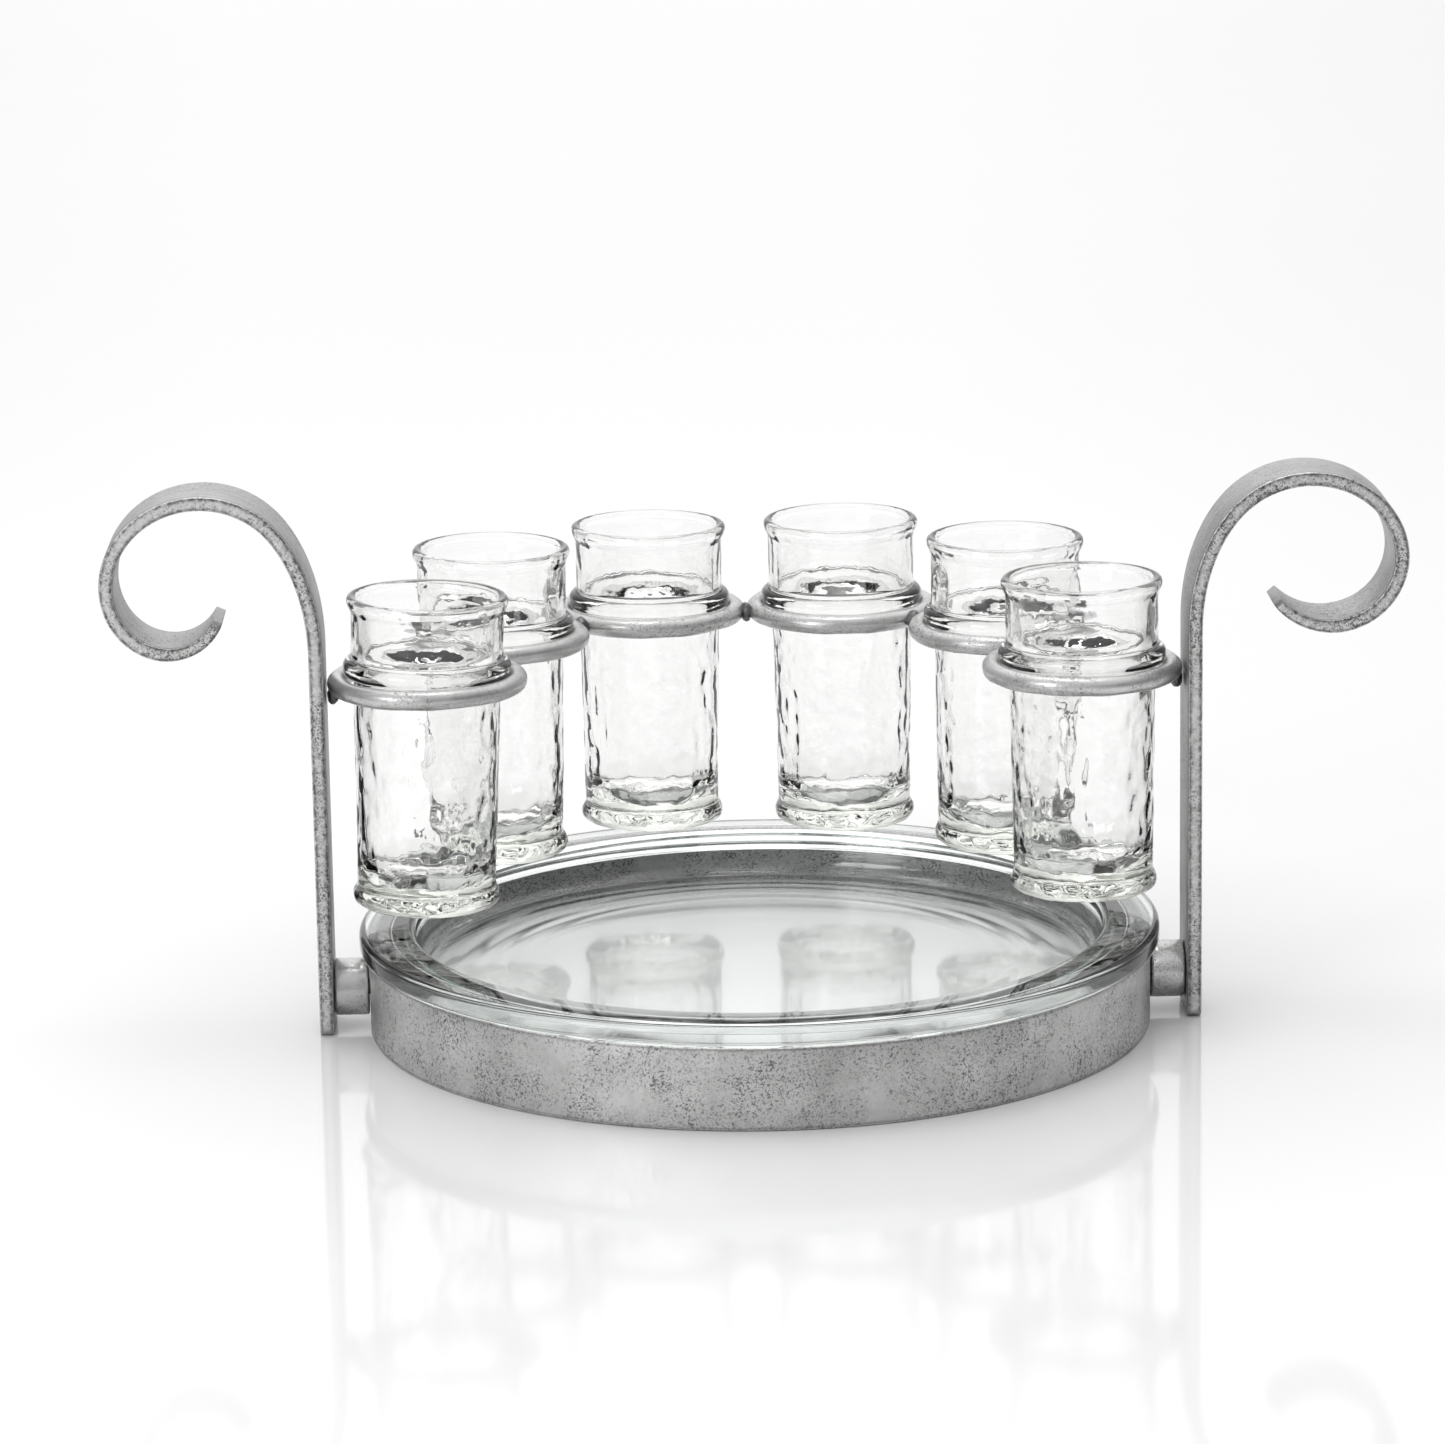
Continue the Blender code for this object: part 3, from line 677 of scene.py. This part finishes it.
# %% [markdown]
# ## The dish
#
# Pressed glass, 7 mm thick: a flat rim that lies on the hoop, a short wall and a flat floor.  Pressing left
# faint rings in the floor near the wall, where the hot glass slid outwards, so the floor's outline gets
# a low ripple there.

# %% Turn the dish
DISH_THICKNESS = 7.0 * MM
DISH_DEPTH = 14.2 * MM
EDGE_ROUND = 2.4 * MM
LIP_ROUND = 2.6 * MM
NECK_ROUND = 1.5 * MM
CORNER = 5.0 * MM
DISH_STEPS = 240
RIPPLE_DEPTH = 0.10 * MM
RIPPLE_FROM, RIPPLE_TO = 0.072, 0.100
RIPPLE_COUNT = 4

screw_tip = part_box("screw_right")[0].x
dish_wall_outer = screw_tip - 1.7 * MM
wall_in = dish_wall_outer - DISH_THICKNESS
floor_top = dish_top - DISH_DEPTH
rim_under = dish_top - DISH_THICKNESS


def floor_ripple(r):
    """Height of the pressing rings on the dish's floor."""
    share = (r - RIPPLE_FROM) / (RIPPLE_TO - RIPPLE_FROM)
    if not 0 < share < 1:
        return 0.0
    return -RIPPLE_DEPTH * math.sin(math.pi * share) * (0.5 - 0.5 * math.cos(2 * math.pi * RIPPLE_COUNT * share))


dish_outline = [(0, dish_low), (wall_in / 2, dish_low)]
dish_outline += arc((wall_in - CORNER, floor_top + CORNER), CORNER + DISH_THICKNESS, -90, 0, 12)
dish_outline += arc((dish_wall_outer + NECK_ROUND, rim_under - NECK_ROUND), NECK_ROUND, 180, 90, 5)
dish_outline += arc((dish_radius - EDGE_ROUND, rim_under + EDGE_ROUND), EDGE_ROUND, -90, 0, 8)
dish_outline += arc((dish_radius - EDGE_ROUND, dish_top - EDGE_ROUND), EDGE_ROUND, 0, 90, 8)
dish_outline += arc((wall_in + LIP_ROUND, dish_top - LIP_ROUND), LIP_ROUND, 90, 180, 8)
dish_outline += arc((wall_in - CORNER, floor_top + CORNER), CORNER, 0, -90, 10)
rings = np.linspace(wall_in - CORNER, RIPPLE_FROM, 60)[1:]
dish_outline += [(r, floor_top + floor_ripple(r)) for r in rings]
dish_outline += [(wall_in / 3, floor_top), (0, floor_top)]
dish_mesh = turn("dish", dish_outline, DISH_STEPS)
dish_mesh.transform(Matrix.Translation(hoop_middle))
dish_mesh.materials.append(dish_glass)
dish = mesh_object("pressed_dish", dish_mesh)
attach(smooth(dish, 50), "dish", "clear_glass", "glass_dish")


# %% [markdown]
# ## The blown cups
#
# Each cup is blown and tooled by hand: a thick rounded lip, a neck, a collar that sits on the ring, a
# body that narrows downwards, a foot bead and a heavy base with a pushed-up dimple.  The turned outline
# gives that much.  What makes it glass from a workshop is its unevenness: the wall wanders, it has long
# drawn streaks, and the base is lumpy.
#
# A Geometry Nodes group adds this.  It pushes the skin along its own radius with noise, more on the
# inside than on the outside, with another seed for each cup.

# %% The blown-glass group
def blown_group():
    group, tree, get = new_group("blown_glass", {
        "Middle": (0.0, 0.0, 0.0), "Seed": 0.0, "Wander": 0.0006, "Streaks": 0.0004, "Dimples": 0.0004,
        "Lumps": 0.0012,
        "Finish": None})
    place = tree.node("GeometryNodeInputPosition")
    local = tree.vector("SUBTRACT", place, get["Middle"])
    x, y, z = tree.split(local)
    flat = tree.combine(x, y, 0.0)
    radius = tree.vector("LENGTH", flat, output=1)
    outward = tree.vector("NORMALIZE", flat)
    share = tree.node("GeometryNodeInputNamedAttribute", {"data_type": "FLOAT"}, {"Name": "give"})
    base = tree.node("GeometryNodeInputNamedAttribute", {"data_type": "FLOAT"}, {"Name": "base_give"})
    wander = tree.noise(local, 38.0, detail=1.0, seed=get["Seed"])
    drawn_place = tree.combine(x, y, z * 0.16)
    drawn = tree.noise(drawn_place, 170.0, detail=2.0, roughness=0.55, seed=get["Seed"] + 3.0)
    dimples = tree.noise(local, 190.0, detail=2.0, roughness=0.5, seed=get["Seed"] + 6.0)
    inward = (wander - 0.5) * get["Wander"] + (drawn - 0.5) * get["Streaks"]
    inward = inward + (dimples - 0.5) * get["Dimples"]
    lump = (tree.noise(local, 150.0, detail=2.5, seed=get["Seed"] + 9.0) - 0.5) * get["Lumps"]
    side_move = tree.node("ShaderNodeVectorMath", {"operation": "SCALE"},
                          {0: outward, "Scale": (0.0 - inward) * share * radius.step(0.0, 0.012)})
    up_move = tree.combine(0.0, 0.0, lump * base)
    moved = tree.node("GeometryNodeSetPosition", {},
                      {"Geometry": get["Geometry"], "Offset": tree.vector("ADD", side_move, up_move)})
    end_group(tree, moved, get["Finish"])
    return group


# %% [markdown]
# The outline repeats the CAD's cup, with true rounds in place of its few facets.  Each point also says
# how freely the noise may move it there: not at the collar, which has to sit on its rod, and most on the
# inner wall.

# %% Outline of a cup
CUP_STEPS = 144
WAIST, HEEL, FOOT = 22.85 * MM, 21.75 * MM, 23.0 * MM
COLLAR, NECK, RIM = 26.2 * MM, 23.75 * MM, 25.2 * MM
CUP_WALL = 2.4 * MM
LIP_THICKNESS = 3.2 * MM
COLLAR_HEIGHT = 5.6 * MM
FOOT_HEIGHT = 6.0 * MM
BASE_GLASS = 6.8 * MM
HEEL_ROUND, HEEL_RISE = 11.0 * MM, 12.0 * MM   # oval round between the inner wall and the inner floor
PUNT = 2.5 * MM
GIVE_OUTER, GIVE_INNER, GIVE_NECK = 0.5, 1.0, 0.22


def cup_outline(foot, seat, rim_top, collar_swell):
    """(r, z, give, base_give) from the middle of the foot, up the outside and down the inside."""
    def tag(points, give, base=0.0):
        return [(r, z, give, base) for r, z in points]

    ease = 1.6 * MM
    foot_round = FOOT_HEIGHT / 2
    stand_on = FOOT - foot_round
    line = tag([(r, foot + PUNT * (0.5 + 0.5 * math.cos(math.pi * r / stand_on)))
                for r in np.linspace(0, stand_on, 12, endpoint=False)], 0.0, 0.4)
    line += tag(arc((stand_on, foot + foot_round), foot_round, -90, 55, 10), 0.7, 0.15)
    line += tag(arc((HEEL + ease * 0.9, foot + FOOT_HEIGHT + ease * 0.35), ease * 0.9, 225, 180, 3), 0.4)
    body = [(np.interp(z, (foot + FOOT_HEIGHT, seat - 4 * MM), (HEEL, WAIST)), z)
            for z in np.linspace(foot + FOOT_HEIGHT + ease, seat - 4 * MM, 46)]
    line += tag(body, GIVE_OUTER)
    line += tag([(WAIST, seat - 2 * MM), (WAIST, seat - 0.6 * MM)], 0.15)
    line += tag(arc((COLLAR - 0.8 * MM, seat + 0.8 * MM), 0.8 * MM, -90, 0, 4), 0.0)
    line += tag(arc((COLLAR - 2.4 * MM, seat + COLLAR_HEIGHT - 2.9 * MM), 2.4 * MM, 0, 80, 7), 0.15)
    line += tag(arc((NECK + 0.9 * MM, seat + COLLAR_HEIGHT + 0.6 * MM), 0.9 * MM, 250, 180, 3), 0.2)
    flare = rim_top - 6.0 * MM
    line += tag([(NECK, z) for z in np.linspace(seat + COLLAR_HEIGHT + 1.4 * MM, flare, 10)], GIVE_NECK)
    round_rim = LIP_THICKNESS / 2
    line += tag([(NECK + (RIM - NECK) * s * s * (3 - 2 * s), flare + (rim_top - round_rim - flare) * s)
                 for s in (0.2, 0.4, 0.6, 0.8)], 0.25)
    line += tag(arc((RIM - round_rim, rim_top - round_rim), round_rim, 0, 180, 12), 0.1)
    line += tag([(NECK - CUP_WALL + (RIM - NECK) * s * s * (3 - 2 * s),
                  flare + (rim_top - round_rim - flare) * s) for s in (0.8, 0.6, 0.4, 0.2)], 0.4)
    floor = foot + BASE_GLASS
    inner = [(np.interp(z, (foot + FOOT_HEIGHT, seat, flare), (HEEL, WAIST, NECK)) - CUP_WALL, z)
             for z in np.linspace(flare, floor + HEEL_RISE + 0.5 * MM, 52)]
    for r, z in inner:
        swell = collar_swell * math.exp(-((z - seat - COLLAR_HEIGHT / 2) / (3 * MM)) ** 2)
        line += tag([(r + swell, z)], np.interp(z, (seat - 12 * MM, seat), (GIVE_INNER, GIVE_NECK)))
    bend = inner[-1][0]
    heel = [(r, floor + HEEL_RISE * (1 + z / HEEL_ROUND))
            for r, z in arc((bend - HEEL_ROUND, 0), HEEL_ROUND, 0, -80, 14)]
    for k, spot in enumerate(heel):
        line += tag([spot], 1.0 - 0.5 * k / len(heel), k / len(heel))
    dimple = bend - HEEL_ROUND
    line += tag([(r, floor + 0.6 * MM * (1 + math.cos(math.pi * r / dimple)))
                 for r in np.linspace(dimple, 0, 8)], 0.0, 1.0)
    return line


# %% [markdown]
# ## Six cups from one outline
#
# The cups hang at slightly different heights, which the CAD boxes give.  The first one also hangs a little
# crooked, because its collar isn't quite square: it is tilted about its seat.

# %% Blow the cups
SEAT_ABOVE_ROD = 2.33 * MM
TILT = {1: (0.0, 1.6), 2: (0.2, 0.4), 3: (-0.3, 0.2), 4: (0.2, -0.2), 5: (0.3, 0.1), 6: (-0.2, -0.3)}
COLLAR_SWELL = {1: 2.2, 2: 1.1, 3: 0.7, 4: 0.8, 5: 1.2, 6: 2.2}     # how far the inside follows, mm
SEEDS = {1: 4.0, 2: 21.0, 3: 37.0, 4: 52.0, 5: 68.0, 6: 83.0}

blown = blown_group()
seat = rod_height + SEAT_ABOVE_ROD
for number in range(1, CUP_COUNT + 1):
    node = f"glass_cup_{number}"
    low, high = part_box(node)
    spot = Vector(((low.x + high.x) / 2, (low.y + high.y) / 2, seat))
    line = cup_outline(low.z - seat, 0.0, high.z - seat, COLLAR_SWELL[number] * MM)
    mesh = turn(node, [(r, z) for r, z, _, _ in line], CUP_STEPS)
    keys = np.array([(r, z) for r, z, _, _ in line])
    gives = np.array([(g, b) for _, _, g, b in line])
    where = np.array([(math.hypot(v.co.x, v.co.y), v.co.z) for v in mesh.vertices])
    nearest = np.argmin(((where[:, None, :] - keys[None, :, :]) ** 2).sum(axis=2), axis=1)
    for column, label in enumerate(("give", "base_give")):
        mesh.attributes.new(label, "FLOAT", "POINT").data.foreach_set("value", gives[nearest, column])
    tilt_x, tilt_y = TILT[number]
    lean = Matrix.Rotation(math.radians(tilt_x), 4, "X") @ Matrix.Rotation(math.radians(tilt_y), 4, "Y")
    mesh.transform(Matrix.Translation(spot) @ lean)
    cup = grow(f"blown_cup_{number}", blown, {
        "Middle": tuple(spot), "Seed": SEEDS[number], "Wander": 1.6 * MM, "Streaks": 1.3 * MM,
        "Dimples": 1.5 * MM, "Lumps": 4.2 * MM, "Finish": blown_glass}, mesh)
    attach(smooth(cup, 60), f"cup_{number}", "clear_glass", node)


# %% [markdown]
# ## Floor, light and camera
#
# Glass shows what is round it, so the light is most of its look.  The floor is a glossy white table that
# runs on out of sight, with a painted shadow round the stand and a painted glow inside the hoop.  The sky
# is bright above and behind, and dark at the sides, which draws the dark lines that give glass its outline.
# The rest is two soft boxes.

# %% Floor
FLOOR_RADIUS = 9.0
PAINTED_GLOW_UNDER_DISH = 0.26            # painted glow: light the table gives off inside the hoop
floor_mesh = bpy.data.meshes.new("floor")
rim = [(FLOOR_RADIUS * math.cos(a), FLOOR_RADIUS * math.sin(a), -0.0002)
       for a in np.linspace(0, 2 * math.pi, 96, endpoint=False)]
floor_mesh.from_pydata(rim, [], [list(range(len(rim)))])
floor = mesh_object("table_top", floor_mesh)
floor_paint = bpy.data.materials.new("white_table")
floor_paint.use_nodes = True
floor_tree = Tree(floor_paint.node_tree)
floor_shader = floor_paint.node_tree.nodes["Principled BSDF"]
floor_place = floor_tree.node("ShaderNodeTexCoord", output="Object")
floor_haze = floor_tree.noise(floor_place, 6.0, detail=2.0)
floor_colour = floor_tree.mix(floor_haze, (0.93, 0.93, 0.93), (0.95, 0.95, 0.95))
floor_x, floor_y, _ = floor_tree.split(floor_place)
floor_spot = floor_tree.combine(floor_x - hoop_middle.x, floor_y - hoop_middle.y, 0.0)
floor_away = floor_tree.vector("LENGTH", floor_spot, output=1)
under_dish = floor_away.step(hoop_inner, hoop_inner * 0.9)
# painted shadow: the table is darker within 13 to 27 cm of the hoop's axis, outside the hoop
floor_colour = floor_tree.mix(floor_away.step(0.27, 0.13) * (1.0 - under_dish), floor_colour, (0.845, 0.845, 0.845))
# painted glow: an emission on the table inside the hoop, brightening the floor seen through the dish
floor_glow = floor_tree.mix(under_dish, (0.0, 0.0, 0.0), (PAINTED_GLOW_UNDER_DISH, PAINTED_GLOW_UNDER_DISH, PAINTED_GLOW_UNDER_DISH))
floor_paint.node_tree.links.new(floor_colour.socket, floor_shader.inputs["Base Color"])
floor_paint.node_tree.links.new(floor_glow.socket, floor_shader.inputs["Emission Color"])
floor_shader.inputs["Emission Strength"].default_value = 1.0
floor_shader.inputs["Roughness"].default_value = 0.07
floor_shader.inputs["IOR"].default_value = 1.42
floor_mesh.materials.append(floor_paint)
floor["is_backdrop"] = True


# %% Sky and soft boxes
def sky():
    """A studio as seen by the object: white above and behind, grey in front, dark at the sides."""
    world = bpy.data.worlds.new("studio")
    world.use_nodes = True
    bpy.context.scene.world = world
    tree = Tree(world.node_tree)
    direction = tree.node("ShaderNodeTexCoord", output="Generated")
    x, y, z = tree.split(direction)
    aside = x.math("ABSOLUTE", x)
    back = y.step(-0.2, 0.5)
    top = z.step(0.35, 0.75)
    dark_side = aside.step(0.06, 0.62) * (1.0 - top)
    light = (0.56 + back * 0.57 + top * 0.27) * (1.0 - dark_side * 0.56)
    background = world.node_tree.nodes["Background"]
    world.node_tree.links.new(light.socket, background.inputs["Strength"])
    background.inputs["Color"].default_value = (1.0, 1.0, 1.0, 1.0)


def soft_box(name, place, aim, size, power):
    lamp = bpy.data.lights.new(name, "AREA")
    lamp.shape = "RECTANGLE"
    lamp.size, lamp.size_y = size
    lamp.energy = power
    holder = bpy.data.objects.new(name, lamp)
    holder.location = place
    holder.rotation_euler = (Vector(aim) - Vector(place)).to_track_quat("-Z", "Y").to_euler()
    bpy.context.scene.collection.objects.link(holder)


sky()
soft_box("soft_box_top", (-0.1, 0.1, 1.8), (0, 0, 0), (0.7, 0.8), 5)
soft_box("soft_box_left", (-1.2, -1.3, 0.7), (0, 0, 0.05), (0.8, 0.8), 9)

# %% [markdown]
# The camera is a long lens a little above the table, as for a catalogue.

# %% Camera
LENS = 144.21
DISTANCE = 1.8033
AIM = Vector((-0.01049, hoop_middle.y, 0.09535))
PITCH, YAW, ROLL = math.radians(13.21), math.radians(-1.35), math.radians(-0.92)

back_dir = Vector((math.sin(YAW) * math.cos(PITCH), -math.cos(YAW) * math.cos(PITCH), math.sin(PITCH)))
level_right = (-back_dir).cross(Vector((0, 0, 1))).normalized()
level_up = level_right.cross(-back_dir)
cam_right = level_right * math.cos(ROLL) + level_up * math.sin(ROLL)
cam_up = level_up * math.cos(ROLL) - level_right * math.sin(ROLL)
camera_data = bpy.data.cameras.new("camera")
camera_data.lens = LENS
camera_data.sensor_width = 36.0
camera_data.clip_start, camera_data.clip_end = 0.01, 50.0
camera = bpy.data.objects.new("camera", camera_data)
camera.matrix_world = Matrix.Translation(AIM + back_dir * DISTANCE) @ Matrix(
    (cam_right, cam_up, back_dir)).transposed().to_4x4()
bpy.context.scene.collection.objects.link(camera)
bpy.context.scene.camera = camera
view = bpy.context.scene.view_settings
view.view_transform = "Standard"
print("camera at", [round(v, 3) for v in camera.location])

# %% [markdown]
# ## The finished box
#
# The last cell prints the finished model's box.

# %% Sizes and finish
low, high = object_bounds()
print("visual box", [round(v, 4) for v in low], [round(v, 4) for v in high])
